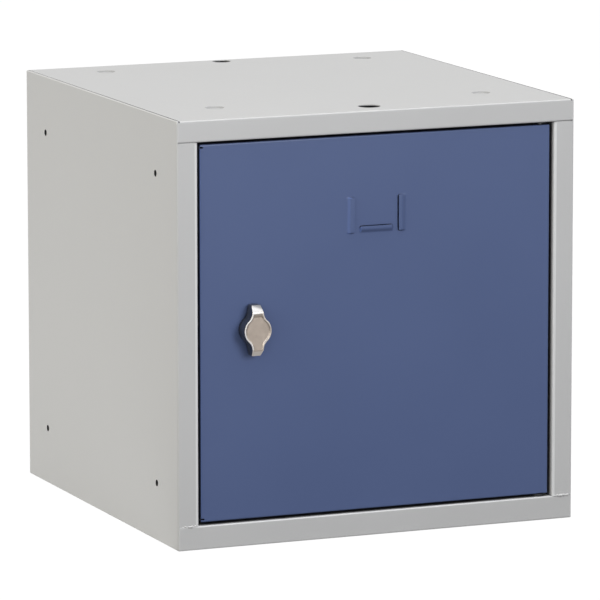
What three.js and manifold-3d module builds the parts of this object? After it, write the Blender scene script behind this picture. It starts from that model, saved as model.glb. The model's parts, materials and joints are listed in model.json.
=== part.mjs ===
// Steel cube locker with one hinged door and a quarter-turn knob.
// Millimetres. +X is to the right seen from the front, +Y goes to the back and +Z is up.
// The origin is the middle of the carcass base.

import * as THREE from "three";
import { mergeVertices } from "three/addons/utils/BufferGeometryUtils.js";
import Module from "manifold-3d";

// Carcass, a box of bent steel sheets
const carcassWidth = 380;
const carcassDepth = 380;
const carcassHeight = 380;
const sheet = 0.9;
const bendRadius = 1.6;
const stileWidth = 19.5;
const topRailHeight = 19.5;
const bottomRailHeight = 21.4;
const stopLipWidth = 12;
const channelLip = 10;
const rearFlange = 12;
const weldFlange = 13;
const backTrayDepth = 4;

// Clearances
const jointGap = 0.3;
const fitGap = 0.3;
const runningGap = 0.07;
const overrun = 1;

// Bolt holes in the sides, and the slots, holes and dimples of the top
const sideHoleRadius = 3;
const sideHoleInset = 51;
const sideHoleHeight = 52;
const lidSlotFront = 1.2;
const lidSlotBack = 0.6;
const frontHoleRadius = 10.2;
const frontHoleInset = 27;
const frontHoleOffset = 3;
const rearHoleRadius = 8.7;
const rearHoleInset = 11.5;
const dimpleRadius = 8.7;
const dimpleDepth = 1.4;
const dimpleSlope = 1.1;
const dimpleSpread = 257;
const dimpleOffset = 2.5;
const dimpleFrontInset = 71;
const dimpleRearInset = 40;

// Door, a pan with returned edges, set back in its opening
const doorSideGap = 3;
const doorEndGap = 2.35;
const doorRecess = 2.5;
const doorDepth = 18;
const doorSheet = 0.9;
const doorBendRadius = 1.5;
const doorLip = 10;
const reliefReach = 3.2;
const reliefHeight = 1.5;
const reliefInset = 2;

// Top-hat stiffener on the inside of the door
const stiffenerWidth = 38;
const stiffenerFlange = 9;
const stiffenerDepth = 12;
const stiffenerSheet = 0.9;
const stiffenerBend = 1.6;

// Card holder, three ribs lanced out of the door's skin
const cardHolderWidth = 57.8;
const cardHolderOffset = -0.8;
const cardHolderDrop = 53.8;
const sideRibLength = 33.4;
const sideRibWidth = 8;
const footRibLength = 32.6;
const footRibWidth = 6.8;
const footRibLift = 0.1;
const ribRise = 2.1;
const ribCorner = 3.2;
const ribEndRun = 1.8;
const ribSlit = 0.5;
const ribSlopeShare = 0.62;

// Hinge: a pin at each right-hand corner of the door, in a bush in the rail
const pivotInset = 8;
const pivotDepth = 5;
const pinRadius = 2.5;
const pinHeadRadius = 3.7;
const pinHeadHeight = 2;
const pinTail = 1.2;
const pinChamfer = 0.6;
const bushWall = 1.2;
const bushFlangeThickness = 1;
const bushFlangeWidth = 1.9;
const bushTail = 2.6;
const bracketSheet = 1.5;
const bracketBend = 2.6;
const bracketArm = 26;
const bracketLeg = 30;

// Rubber buffers on the stop lip
const bufferThickness = 2.7;
const bufferRadius = 4;
const bufferDomeShare = 0.55;
const bufferStemRadius = 1.8;
const bufferBarbRadius = 2.5;
const bufferBarbLength = 3;
const bufferInset = 62;

// Knob, with a wing above and below its round middle
const knobInset = 48.6;
const knobRise = 2;
const knobDepth = 12.4;
const knobRadius = 12.7;
const knobLength = 45.3;
const wingRootWidth = 12.2;
const wingTipWidth = 9;
const wingTipCorner = 1.4;
const wingFillet = 4;
const wingSlopeRun = 5.8;
const wingSlopeDepth = 5.2;
const knobRim = 1.2;
const knobRecess = 0.8;
const recessRamp = 3.4;
const knobBevel = 0.4;

// Spindle and lock body
const spindleRadius = 5;
const squareWidth = 7;
const collarRadius = 12;
const collarThickness = 2;
const collarChamfer = 0.7;
const barrelRadius = 9;
const barrelFlatWidth = 15.4;
const lockWasherRadius = 13;
const lockWasherThickness = 1.2;
const lockNutWidth = 24;
const lockNutThickness = 4;

// Latch behind the door
const camClearance = 0.6;
const camThickness = 2.5;
const camHubRadius = 10;
const camTipRadius = 6;
const camLength = 46;
const quarterTurn = Math.PI / 2;
const stopWasherRadius = 8.8;
const stopWasherThickness = 1.5;
const stopNotchRadius = 6.4;
const stopLugShare = 0.2;
const stopPlayShare = 0.03;
const camWasherRadius = 6.5;
const camWasherThickness = 1.2;
const screwRadius = 2.2;
const screwHeadRadius = 4.8;
const screwHeadHeight = 3;
const screwLength = 9;
const screwSlotWidth = 1.2;
const screwSlotDepth = 1.4;

// Facets
const bendSteps = 2;
const knobSteps = 4;
const curveSteps = 6;
const roundSteps = 32;
const ribSteps = 7;
const ribEndSteps = 5;
const weldTolerance = 1e-4;

// Places that several pieces share
const halfWidth = carcassWidth / 2;
const endPanelReach = halfWidth - bendRadius;
const frontY = -carcassDepth / 2;
const backY = carcassDepth / 2;
const openingLeft = -halfWidth + stileWidth;
const openingRight = halfWidth - stileWidth;
const openingBottom = bottomRailHeight;
const openingTop = carcassHeight - topRailHeight;
const doorLeft = openingLeft + doorSideGap;
const doorRight = openingRight - doorSideGap;
const doorBottom = openingBottom + doorEndGap;
const doorTop = openingTop - doorEndGap;
const doorFront = frontY + doorRecess;
const doorBack = doorFront + doorDepth;
const doorInside = doorFront + doorSheet;
const stopLipFront = doorBack + bufferThickness + fitGap;
const stopLipBack = stopLipFront + sheet;
const pivotX = doorRight - pivotInset;
const pivotY = doorFront + pivotDepth;
const bushRadius = pinRadius + runningGap + bushWall;
const knobX = doorLeft + knobInset;
const knobZ = (doorBottom + doorTop) / 2 + knobRise;

// Places along the latch axis, counted from the door's face
const knobBack = -collarThickness - fitGap;
const knobFront = knobBack - knobDepth;
const camFront = stopLipBack + camClearance - doorFront;
const camBack = camFront + camThickness;
const stopWasherFront = camFront - stopWasherThickness;
const barrelEnd = stopWasherFront - fitGap;

const wasm = await Module();
wasm.setup();

// Solids from three.js geometry

function solidFrom(geometry) {
  const bare = geometry.index ? geometry.toNonIndexed() : geometry.clone();
  bare.deleteAttribute("normal");
  bare.deleteAttribute("uv");
  const merged = mergeVertices(bare, weldTolerance);
  return new wasm.Manifold(
    new wasm.Mesh({
      numProp: 3,
      vertProperties: new Float32Array(merged.attributes.position.array),
      triVerts: new Uint32Array(merged.index.array),
    }),
  );
}

function joined(...solids) {
  return solids.reduce((whole, next) => whole.add(next));
}

function cut(solid, ...tools) {
  return tools.reduce((rest, tool) => rest.subtract(tool), solid);
}

function meshOf(name, solid, material) {
  const { vertProperties, triVerts } = solid.getMesh();
  const geometry = new THREE.BufferGeometry();
  geometry.setAttribute("position", new THREE.BufferAttribute(new Float32Array(vertProperties), 3));
  geometry.setIndex(new THREE.BufferAttribute(new Uint32Array(triVerts), 1));
  const faceted = geometry.toNonIndexed();
  faceted.computeVertexNormals();
  const mesh = new THREE.Mesh(faceted, material);
  mesh.name = name;
  return mesh;
}

function block(x0, x1, y0, y1, z0, z1) {
  const geometry = new THREE.BoxGeometry(Math.abs(x1 - x0), Math.abs(y1 - y0), Math.abs(z1 - z0));
  return solidFrom(geometry.translate((x0 + x1) / 2, (y0 + y1) / 2, (z0 + z1) / 2));
}

// Extrusions: along x the section is drawn in (y, z), along y in (x, z) and along z in (x, y).
const unitX = new THREE.Vector3(1, 0, 0);
const unitY = new THREE.Vector3(0, 1, 0);
const unitZ = new THREE.Vector3(0, 0, 1);
const sectionBases = {
  x: new THREE.Matrix4().makeBasis(unitY, unitZ, unitX),
  y: new THREE.Matrix4().makeBasis(unitX, unitZ, unitY.clone().negate()),
  z: new THREE.Matrix4(),
};

function extruded(axis, shape, from, to, steps = bendSteps, at = [0, 0, 0]) {
  const settings = { depth: to - from, bevelEnabled: false, curveSegments: steps };
  const geometry = new THREE.ExtrudeGeometry(shape, settings).applyMatrix4(sectionBases[axis]);
  const start = { x: [from, 0, 0], y: [0, to, 0], z: [0, 0, from] }[axis];
  return solidFrom(geometry.translate(...start).translate(...at));
}

// A rod, or with a second radius a cone, from one place on its axis to another
function rod(axis, radius, from, to, at = [0, 0, 0], endRadius = radius) {
  const geometry = new THREE.CylinderGeometry(endRadius, radius, to - from, roundSteps);
  geometry.translate(0, (from + to) / 2, 0);
  if (axis === "x") geometry.rotateZ(-quarterTurn);
  if (axis === "z") geometry.rotateX(quarterTurn);
  return solidFrom(geometry.translate(...at));
}

// The radius of a round hole whose facets keep clear of a pin
function boreRadius(radius, gap) {
  return (radius + gap) / Math.cos(Math.PI / roundSteps);
}

// A closed outline with each corner rounded by its own radius
function roundedLoop(corners, radii) {
  const shape = new THREE.Shape();
  corners.forEach((corner, index) => {
    const before = corners.at(index - 1);
    const after = corners[(index + 1) % corners.length];
    const arriving = corner.clone().sub(before).normalize();
    const leaving = after.clone().sub(corner).normalize();
    const turn = Math.atan2(arriving.cross(leaving), arriving.dot(leaving));
    const radius = radii[index];
    if (radius === 0 || turn === 0) {
      if (index === 0) shape.moveTo(corner.x, corner.y);
      else shape.lineTo(corner.x, corner.y);
      return;
    }
    const side = Math.sign(turn);
    const reach = radius * Math.tan(Math.abs(turn) / 2);
    const start = corner.clone().addScaledVector(arriving, -reach);
    const toCentre = new THREE.Vector2(-arriving.y, arriving.x).multiplyScalar(side);
    const centre = start.clone().addScaledVector(toCentre, radius);
    const startAngle = Math.atan2(-toCentre.y, -toCentre.x);
    shape.absarc(centre.x, centre.y, radius, startAngle, startAngle + turn, side < 0);
  });
  shape.closePath();
  return shape;
}

// The section of a sheet bent along a path. The path is one face of the sheet, which lies to its left when
// side is 1 and to its right when side is -1. Every bend has the same outer radius.
function bentSection(path, thickness, radius, side) {
  const points = path.map(([a, b]) => new THREE.Vector2(a, b));
  const last = points.length - 1;
  const ways = points.slice(1).map((point, index) => point.clone().sub(points[index]).normalize());
  const normals = ways.map((way) => new THREE.Vector2(-way.y, way.x).multiplyScalar(side));
  const farFace = points.map((point, index) => {
    if (index === 0) return point.clone().addScaledVector(normals[0], thickness);
    if (index === last) return point.clone().addScaledVector(normals[last - 1], thickness);
    const middle = normals[index - 1].clone().add(normals[index]);
    return point.clone().addScaledVector(middle, (2 * thickness) / middle.lengthSq());
  });
  const radii = points.map((point, index) => {
    if (index === 0 || index === last) return [0, 0];
    const turnsToSheet = ways[index - 1].cross(ways[index]) * side > 0;
    return turnsToSheet ? [radius, radius - thickness] : [radius - thickness, radius];
  });
  const corners = [...points, ...farFace.reverse()];
  const cornerRadii = [...radii.map((pair) => pair[0]), ...radii.map((pair) => pair[1]).reverse()];
  return roundedLoop(corners, cornerRadii);
}

function roundedRectangle(a0, a1, b0, b1, radius) {
  const corners = [[a0, b0], [a1, b0], [a1, b1], [a0, b1]].map(([a, b]) => new THREE.Vector2(a, b));
  return roundedLoop(corners, corners.map(() => radius));
}

// A block with all its edges rounded
function roundedBlock(x0, x1, y0, y1, z0, z1, radius) {
  return extruded("z", roundedRectangle(x0, x1, y0, y1, radius), z0, z1)
    .intersect(extruded("x", roundedRectangle(y0, y1, z0, z1, radius), x0, x1))
    .intersect(extruded("y", roundedRectangle(x0, x1, z0, z1, radius), y0, y1));
}

// A hollow block with walls of one thickness and rounded edges
function shellBlock(x0, x1, y0, y1, z0, z1, radius, wall) {
  const inner = [x0 + wall, x1 - wall, y0 + wall, y1 - wall, z0 + wall, z1 - wall];
  return cut(roundedBlock(x0, x1, y0, y1, z0, z1, radius), roundedBlock(...inner, radius - wall));
}

// Materials

function paintedSteel(color) {
  return new THREE.MeshStandardMaterial({ color, roughness: 0.48, metalness: 0 });
}

function bareMetal(color, roughness) {
  return new THREE.MeshStandardMaterial({ color, roughness, metalness: 1 });
}

function carcassPaint() {
  return paintedSteel(0xc9c9c6);
}

function doorPaint() {
  return paintedSteel(0x52618a);
}

function satinNickel() {
  return bareMetal(0xb4aba0, 0.32);
}

function zincPlate() {
  return bareMetal(0xa9adb0, 0.4);
}

function nylon() {
  return new THREE.MeshStandardMaterial({ color: 0x1e1f21, roughness: 0.6, metalness: 0 });
}

function rubber() {
  return new THREE.MeshStandardMaterial({ color: 0x26262a, roughness: 0.85, metalness: 0 });
}

// Side panels. hand is -1 for the left and 1 for the right.

function sidePanelSection(hand, hasStopLip) {
  const across = (inward) => hand * (halfWidth - inward);
  const lip = hasStopLip
    ? [[across(stileWidth + stopLipWidth), stopLipFront], [across(stileWidth), stopLipFront]]
    : [[across(stileWidth - channelLip), stopLipBack], [across(stileWidth), stopLipBack]];
  const wrap = [
    [across(stileWidth), frontY],
    [across(0), frontY],
    [across(0), backY],
    [across(rearFlange), backY],
  ];
  return bentSection([...lip, ...wrap], sheet, bendRadius, hand);
}

// The side sheet with the quarter-round bends on its four edges
function sideSkin(hand) {
  const shell = shellBlock(-halfWidth, halfWidth, frontY, backY, 0, carcassHeight, bendRadius, sheet);
  const across = [hand * endPanelReach, hand * (halfWidth + overrun)];
  const deep = [frontY - overrun, backY + overrun];
  return shell.intersect(block(...across, ...deep, -overrun, carcassHeight + overrun));
}

// The room that the top or bottom panel's rail and rear flange take from the side's own flanges
function endPanelRoom(hand, railHeight, level) {
  const across = [hand * endPanelReach, hand * (halfWidth - stileWidth - stopLipWidth - overrun)];
  const railDeep = [frontY - overrun, stopLipBack + overrun];
  const flangeDeep = [backY - sheet - overrun, backY + overrun];
  const outer = level(-overrun);
  const rail = block(...across, ...railDeep, outer, level(railHeight + jointGap));
  return rail.add(block(...across, ...flangeDeep, outer, level(rearFlange + jointGap)));
}

// The flange that the top or bottom panel is welded on, one sheet lower than its face
function weldLedge(hand, level) {
  const across = [hand * (halfWidth - sheet), hand * (halfWidth - weldFlange)];
  const ends = bendRadius + jointGap;
  return block(...across, frontY + ends, backY - ends, level(sheet), level(2 * sheet));
}

function sideHoles(hand) {
  const from = halfWidth - sheet - overrun;
  const places = [frontY + sideHoleInset, backY - sideHoleInset];
  const heights = [sideHoleHeight, carcassHeight - sideHoleHeight];
  const ends = [hand * from, hand * (halfWidth + overrun)].sort((a, b) => a - b);
  return places.flatMap((y) => heights.map((z) => rod("x", sideHoleRadius, ...ends, [0, y, z])));
}

function sidePanel(hand, hasStopLip) {
  const section = sidePanelSection(hand, hasStopLip);
  const channel = extruded("z", section, bendRadius, carcassHeight - bendRadius);
  const topRoom = endPanelRoom(hand, topRailHeight, topLevel);
  const bottomRoom = endPanelRoom(hand, bottomRailHeight, bottomLevel);
  const trimmed = cut(joined(sideSkin(hand), channel), topRoom, bottomRoom);
  const ledged = joined(trimmed, weldLedge(hand, topLevel), weldLedge(hand, bottomLevel));
  return cut(ledged, ...sideHoles(hand));
}

function leftSidePanel() {
  return meshOf("left_side_panel", cut(sidePanel(-1, true), ...bufferHoles()), carcassPaint());
}

function rightSidePanel() {
  return meshOf("right_side_panel", sidePanel(1, false), carcassPaint());
}

// Top and bottom panels. A level is a height counted inwards from the panel's outer face.

function topLevel(inward) {
  return carcassHeight - inward;
}

function bottomLevel(inward) {
  return inward;
}

function endPanel(railHeight, level, side) {
  const path = [
    [stopLipBack, level(railHeight - channelLip)],
    [stopLipBack, level(railHeight)],
    [frontY, level(railHeight)],
    [frontY, level(0)],
    [backY, level(0)],
    [backY, level(rearFlange)],
  ];
  return extruded("x", bentSection(path, sheet, bendRadius, side), -endPanelReach, endPanelReach);
}

// The bolt holes on the middle line, the front one set over to the right of it
function endHoles(level) {
  const ends = [level(-overrun), level(sheet + overrun)].sort((a, b) => a - b);
  return [
    rod("z", frontHoleRadius, ...ends, [frontHoleOffset, frontY + frontHoleInset, 0]),
    rod("z", rearHoleRadius, ...ends, [0, backY - rearHoleInset, 0]),
  ];
}

function bushHole(railHeight, level) {
  const ends = [level(railHeight + overrun), level(railHeight - sheet - overrun)].sort((a, b) => a - b);
  return rod("z", boreRadius(bushRadius, fitGap), ...ends, [pivotX, pivotY, 0]);
}

function dimplePlaces() {
  const columns = [dimpleOffset - dimpleSpread / 2, dimpleOffset + dimpleSpread / 2];
  const rows = [frontY + dimpleFrontInset, backY - dimpleRearInset];
  return columns.flatMap((x) => rows.map((y) => [x, y, 0]));
}

// A dimple is a dish pressed down into the sheet, as thick as the sheet all over.
function dimpledTop(panel) {
  const top = carcassHeight;
  const under = top - sheet;
  return dimplePlaces().reduce((rest, at) => {
    const floorRadius = dimpleRadius - dimpleSlope;
    const cup = rod("z", floorRadius, under - dimpleDepth, top, at, dimpleRadius + sheet);
    const hollow = joined(
      rod("z", floorRadius, top - dimpleDepth, top, at, dimpleRadius),
      rod("z", dimpleRadius, top, top + overrun, at),
    );
    return cut(joined(rest, cup), hollow);
  }, panel);
}

// The slot between the top sheet and each side's bend, wider at the front than at the back
function lidSlots() {
  const [front, back] = [frontY + bendRadius, backY - bendRadius];
  return [-1, 1].map((hand) => {
    const corners = [
      [endPanelReach + overrun, front],
      [endPanelReach + overrun, back],
      [endPanelReach - lidSlotBack, back],
      [endPanelReach - lidSlotFront, front],
    ].map(([x, y]) => new THREE.Vector2(hand * x, y));
    return extruded("z", new THREE.Shape(corners), topLevel(sheet + overrun), topLevel(-overrun));
  });
}

function topPanel() {
  const panel = endPanel(topRailHeight, topLevel, -1);
  const holes = [...endHoles(topLevel), bushHole(topRailHeight, topLevel)];
  return meshOf("top_panel", dimpledTop(cut(panel, ...holes, ...lidSlots())), carcassPaint());
}

function bottomPanel() {
  const panel = endPanel(bottomRailHeight, bottomLevel, 1);
  const drilled = cut(panel, ...endHoles(bottomLevel), bushHole(bottomRailHeight, bottomLevel));
  return meshOf("bottom_panel", drilled, carcassPaint());
}

// Back panel: a tray that lies against the rear flanges, its edges turned forwards
function backPanel() {
  const side = halfWidth - sheet - fitGap;
  const low = 2 * sheet + fitGap;
  const high = carcassHeight - low;
  const face = backY - sheet;
  const rim = face - backTrayDepth;
  const tray = shellBlock(-side, side, rim - bendRadius - overrun, face, low, high, bendRadius, sheet);
  const front = block(-halfWidth, halfWidth, frontY, rim, 0, carcassHeight);
  return meshOf("back_panel", cut(tray, front), carcassPaint());
}

// Door panel

// A smooth rise from 0 to 1
function eased(share) {
  const held = Math.min(Math.max(share, 0), 1);
  return held * held * (3 - 2 * held);
}

// Places along a rib, close together at its two ends
function ribRows(length) {
  const ends = Array.from({ length: ribEndSteps + 1 }, (none, step) => (ribEndRun * step) / ribEndSteps);
  return [...ends, ...ends.map((run) => length - run).reverse()];
}

// The body under a rib's face, from a flat base up. A rib rises from its rooted edge to its slit edge and
// falls away at both ends, and its slit edge has round corners. grow widens it past the slit edge.
function ribBody(length, width, grow, drop, base) {
  const rows = ribRows(length);
  const faceHeight = (across, along) => {
    const end = Math.min(along, length - along) / ribEndRun;
    return ribRise * eased(across / (width * ribSlopeShare)) * eased(end) - drop;
  };
  const reachAt = (along) => {
    const fromEnd = Math.min(along, length - along, ribCorner);
    const lost = ribCorner - Math.sqrt(ribCorner ** 2 - (ribCorner - fromEnd) ** 2);
    return width - lost + grow;
  };
  const vertices = [];
  rows.forEach((along) => {
    for (let step = 0; step <= ribSteps; step++) {
      const across = (reachAt(along) * step) / ribSteps;
      const place = along - length / 2;
      vertices.push([across, place, faceHeight(across, along)], [across, place, base]);
    }
  });
  const rowSize = 2 * (ribSteps + 1);
  const at = (row, step, under) => row * rowSize + 2 * step + under;
  const triangles = [];
  const quad = (a, b, c, d) => triangles.push(a, b, c, a, c, d);
  for (let row = 0; row < rows.length - 1; row++) {
    for (let step = 0; step < ribSteps; step++) {
      quad(at(row, step, 0), at(row, step + 1, 0), at(row + 1, step + 1, 0), at(row + 1, step, 0));
      quad(at(row, step, 1), at(row + 1, step, 1), at(row + 1, step + 1, 1), at(row, step + 1, 1));
    }
    quad(at(row, 0, 0), at(row + 1, 0, 0), at(row + 1, 0, 1), at(row, 0, 1));
    quad(at(row, ribSteps, 1), at(row + 1, ribSteps, 1), at(row + 1, ribSteps, 0), at(row, ribSteps, 0));
  }
  const lastRow = rows.length - 1;
  for (let step = 0; step < ribSteps; step++) {
    quad(at(0, step, 1), at(0, step + 1, 1), at(0, step + 1, 0), at(0, step, 0));
    quad(at(lastRow, step, 0), at(lastRow, step + 1, 0), at(lastRow, step + 1, 1), at(lastRow, step, 1));
  }
  const geometry = new THREE.BufferGeometry();
  geometry.setAttribute("position", new THREE.Float32BufferAttribute(vertices.flat(), 3));
  geometry.setIndex(triangles);
  return geometry;
}

// Each rib: its size, the way from its root to its slit, the way along it, and the middle of its rooted edge
function cardHolderRibs() {
  const middle = (doorLeft + doorRight) / 2 + cardHolderOffset;
  const sideHeight = doorTop - cardHolderDrop - sideRibLength / 2;
  const foot = doorTop - cardHolderDrop - sideRibLength + footRibLift;
  const side = { length: sideRibLength, width: sideRibWidth };
  const left = unitX.clone().negate();
  const down = unitZ.clone().negate();
  return [
    { ...side, across: unitX, along: unitZ, x: middle - cardHolderWidth / 2, z: sideHeight },
    { ...side, across: left, along: down, x: middle + cardHolderWidth / 2, z: sideHeight },
    { length: footRibLength, width: footRibWidth, across: unitZ, along: left, x: middle, z: foot },
  ];
}

function lancedSkin(door) {
  const outwards = unitY.clone().negate();
  return cardHolderRibs().reduce((rest, rib) => {
    const basis = new THREE.Matrix4().makeBasis(rib.across, rib.along, outwards);
    basis.setPosition(rib.x, doorFront, rib.z);
    const shaped = (grow, drop, base) =>
      solidFrom(ribBody(rib.length, rib.width, grow, drop, base).applyMatrix4(basis));
    const face = shaped(0, 0, -doorSheet / 2);
    const hollow = shaped(ribSlit, doorSheet, -doorSheet - overrun);
    return cut(joined(rest, face), hollow);
  }, door);
}

// The relief notches of the latch side's two corners, where the bent edges meet
function cornerReliefs() {
  const [low, high] = [doorBottom + reliefInset, doorTop - reliefInset - reliefHeight];
  const across = [doorLeft - overrun, doorLeft + reliefReach];
  const deep = [doorFront - overrun, doorFront + doorSheet + doorBendRadius];
  return [low, high].map((z) => block(...across, ...deep, z, z + reliefHeight));
}

function doorPanel() {
  const across = [doorLeft, doorRight];
  const high = [doorBottom, doorTop];
  const pan = shellBlock(...across, doorFront, doorBack, ...high, doorBendRadius, doorSheet);
  const mouthDeep = [doorBack - doorSheet - overrun, doorBack + overrun];
  const mouthHigh = [doorBottom + doorLip, doorTop - doorLip];
  const mouth = block(doorLeft + doorLip, doorRight - doorLip, ...mouthDeep, ...mouthHigh);
  const pinHole = rod("z", boreRadius(pinRadius, fitGap), 0, carcassHeight, [pivotX, pivotY, 0]);
  const lockPlace = [knobX, doorFront, knobZ];
  const lockHole = extruded("y", doubleD(fitGap), -overrun, doorSheet + overrun, curveSteps, lockPlace);
  const cutPan = cut(pan, mouth, pinHole, lockHole, ...cornerReliefs());
  return meshOf("door_panel", lancedSkin(cutPan), doorPaint());
}

function doorStiffener() {
  const middle = (doorLeft + doorRight) / 2 + cardHolderOffset;
  const foot = doorInside;
  const crown = foot + stiffenerDepth;
  const half = stiffenerWidth / 2;
  const web = half - stiffenerFlange;
  const path = [
    [middle - half, foot],
    [middle - web, foot],
    [middle - web, crown],
    [middle + web, crown],
    [middle + web, foot],
    [middle + half, foot],
  ];
  const ends = doorBendRadius + fitGap;
  const section = bentSection(path, stiffenerSheet, stiffenerBend, 1);
  return meshOf("door_stiffener", extruded("z", section, doorBottom + ends, doorTop - ends), doorPaint());
}

// Hinge hardware, drawn at the pivot axis. up is 1 at the top of the door and -1 at the bottom, and a
// height is counted from the door's edge towards the rail.

function spanOf(up, from, to) {
  return [up * from, up * to].sort((a, b) => a - b);
}

function hingeBracket(name, up) {
  const wall = doorRight - doorSheet - pivotX;
  const under = -doorSheet;
  const path = [
    [wall - bracketArm, up * under],
    [wall, up * under],
    [wall, up * (under - bracketLeg)],
  ];
  const section = bentSection(path, bracketSheet, bracketBend, -up);
  const near = doorFront + doorBendRadius - pivotY;
  const far = doorBack - doorBendRadius - pivotY;
  const holeSpan = spanOf(up, under - bracketSheet - overrun, overrun);
  const hole = rod("z", boreRadius(pinRadius, fitGap), ...holeSpan);
  return meshOf(name, cut(extruded("y", section, near, far), hole), zincPlate());
}

function hingePin(name, up) {
  const seat = -doorSheet - bracketSheet;
  const end = doorEndGap + sheet + bushTail + pinTail;
  const tip = end - pinChamfer;
  const pointed = pinRadius - pinChamfer;
  const [lowRadius, highRadius] = up > 0 ? [pinRadius, pointed] : [pointed, pinRadius];
  const solid = joined(
    rod("z", pinHeadRadius, ...spanOf(up, seat - pinHeadHeight, seat)),
    rod("z", pinRadius, ...spanOf(up, seat - pinHeadHeight / 2, tip)),
    rod("z", lowRadius, ...spanOf(up, tip, end), [0, 0, 0], highRadius),
  );
  return meshOf(name, solid, zincPlate());
}

function hingeBush(name, up) {
  const flange = doorEndGap - bushFlangeThickness;
  const tail = doorEndGap + sheet + bushTail;
  const bore = rod("z", boreRadius(pinRadius, runningGap), ...spanOf(up, 0, tail + overrun));
  const solid = joined(
    rod("z", bushRadius + bushFlangeWidth, ...spanOf(up, flange, doorEndGap)),
    rod("z", bushRadius, ...spanOf(up, flange, tail)),
  );
  return meshOf(name, cut(solid, bore), nylon());
}

function thrustWasher() {
  const span = spanOf(-1, fitGap, doorEndGap - bushFlangeThickness);
  const ring = rod("z", bushRadius + bushFlangeWidth, ...span);
  const hole = rod("z", boreRadius(pinRadius, fitGap), span[0] - overrun, span[1] + overrun);
  return meshOf("lower_thrust_washer", cut(ring, hole), nylon());
}

// Rubber buffers, drawn where the stop lip's front face meets their axis

function bufferPlaces() {
  const x = (doorLeft + openingLeft + stopLipWidth) / 2;
  return { upper: [x, openingTop - bufferInset], lower: [x, openingBottom + bufferInset] };
}

function bufferHoles() {
  const radius = boreRadius(bufferStemRadius, fitGap);
  const ends = [stopLipFront - overrun, stopLipBack + overrun];
  return Object.values(bufferPlaces()).map(([x, z]) => rod("y", radius, ...ends, [x, 0, z]));
}

function doorBuffer(name, [x, z]) {
  const dome = [
    [0, -bufferThickness],
    [bufferRadius * bufferDomeShare, -bufferThickness],
    [bufferRadius, -bufferThickness * bufferDomeShare],
    [bufferRadius, 0],
  ];
  const stem = [
    [bufferStemRadius, 0],
    [bufferStemRadius, sheet + fitGap],
    [bufferBarbRadius, sheet + fitGap],
    [bufferStemRadius, sheet + fitGap + bufferBarbLength],
    [0, sheet + fitGap + bufferBarbLength],
  ];
  const profile = [...dome, ...stem].map(([radius, along]) => new THREE.Vector2(radius, along));
  const mesh = meshOf(name, solidFrom(new THREE.LatheGeometry(profile, roundSteps)), rubber());
  mesh.position.set(x, stopLipFront, z);
  return mesh;
}

// Latch pieces, drawn about the knob's axis with y counted from the door's face

// The knob's outline, or the same outline drawn in from it by an inset: a quarter of it, mirrored
function knobOutline(inset) {
  const radius = knobRadius - inset;
  const rootHalf = wingRootWidth / 2 - inset;
  const tipHalf = wingTipWidth / 2 - inset;
  const end = knobLength / 2;
  const root = Math.sqrt(radius ** 2 - rootHalf ** 2);
  const share = wingFillet / (end - root);
  const filletHalf = rootHalf + (tipHalf - rootHalf) * share;
  const filletAngle = Math.atan2(root, rootHalf) - wingFillet / radius;
  const corner = Math.min(wingTipCorner, tipHalf / 2);
  const quarter = new THREE.Path();
  quarter.absarc(0, 0, radius, 0, filletAngle, false);
  quarter.quadraticCurveTo(rootHalf, root, filletHalf, root + wingFillet);
  quarter.lineTo(tipHalf, end - corner);
  quarter.quadraticCurveTo(tipHalf, end, tipHalf - corner, end);
  const points = quarter.getPoints(knobSteps);
  const mirrored = (across, up) => points.map((point) => new THREE.Vector2(across * point.x, up * point.y));
  const [topRight, topLeft, bottomLeft, bottomRight] = [
    mirrored(1, 1),
    mirrored(-1, 1).reverse(),
    mirrored(-1, -1),
    mirrored(1, -1).reverse(),
  ];
  const loop = [...topRight, ...topLeft, ...bottomLeft, ...bottomRight];
  return new THREE.Shape(loop.filter((point, index) => !point.equals(loop.at(index - 1))));
}

// A slab across the knob whose two ends slope from one half length at the front to another further back
function slopedSlab(front, frontHalf, knee, kneeHalf, back) {
  const corners = [
    [front, -frontHalf],
    [knee, -kneeHalf],
    [back, -kneeHalf],
    [back, kneeHalf],
    [knee, kneeHalf],
    [front, frontHalf],
  ].map(([a, b]) => new THREE.Vector2(a, b));
  const reach = knobRadius + overrun;
  return extruded("x", new THREE.Shape(corners), -reach, reach);
}

// The knob's outline carried from its face to its back, with bevelled edges
function knobBody() {
  const settings = {
    depth: knobDepth - 2 * knobBevel,
    bevelThickness: knobBevel,
    bevelSize: knobBevel,
    bevelOffset: -knobBevel,
    bevelSegments: bendSteps,
    curveSegments: curveSteps,
  };
  const geometry = new THREE.ExtrudeGeometry(knobOutline(0), settings).applyMatrix4(sectionBases.y);
  return solidFrom(geometry.translate(0, knobBack - knobBevel, 0));
}

// The wings slope back at their ends, and the face is sunk inside a raised rim, with a ramp at each end.
function knobHead() {
  const half = knobLength / 2;
  const faceHalf = half - wingSlopeRun;
  const wings = slopedSlab(knobFront, faceHalf, knobFront + wingSlopeDepth, half, knobBack);
  const rimHalf = faceHalf - knobRim;
  const floor = knobFront + knobRecess;
  const above = knobFront - knobRecess;
  const ramps = slopedSlab(above, rimHalf + recessRamp, floor, rimHalf - recessRamp, floor + overrun);
  const recess = extruded("y", knobOutline(knobRim), above, floor, curveSteps);
  return cut(knobBody().intersect(wings), recess.intersect(ramps));
}

function turnKnob() {
  const half = squareWidth / 2;
  const squareStart = barrelEnd + fitGap / 2;
  const end = camBack - fitGap;
  const shank = joined(
    rod("y", spindleRadius, knobBack - overrun, squareStart),
    block(-half, half, squareStart - overrun, end, -half, half),
  );
  const screwHole = rod("y", boreRadius(screwRadius, fitGap), end - screwLength, end + overrun);
  return meshOf("turn_knob", cut(joined(knobHead(), shank), screwHole), satinNickel());
}

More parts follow.
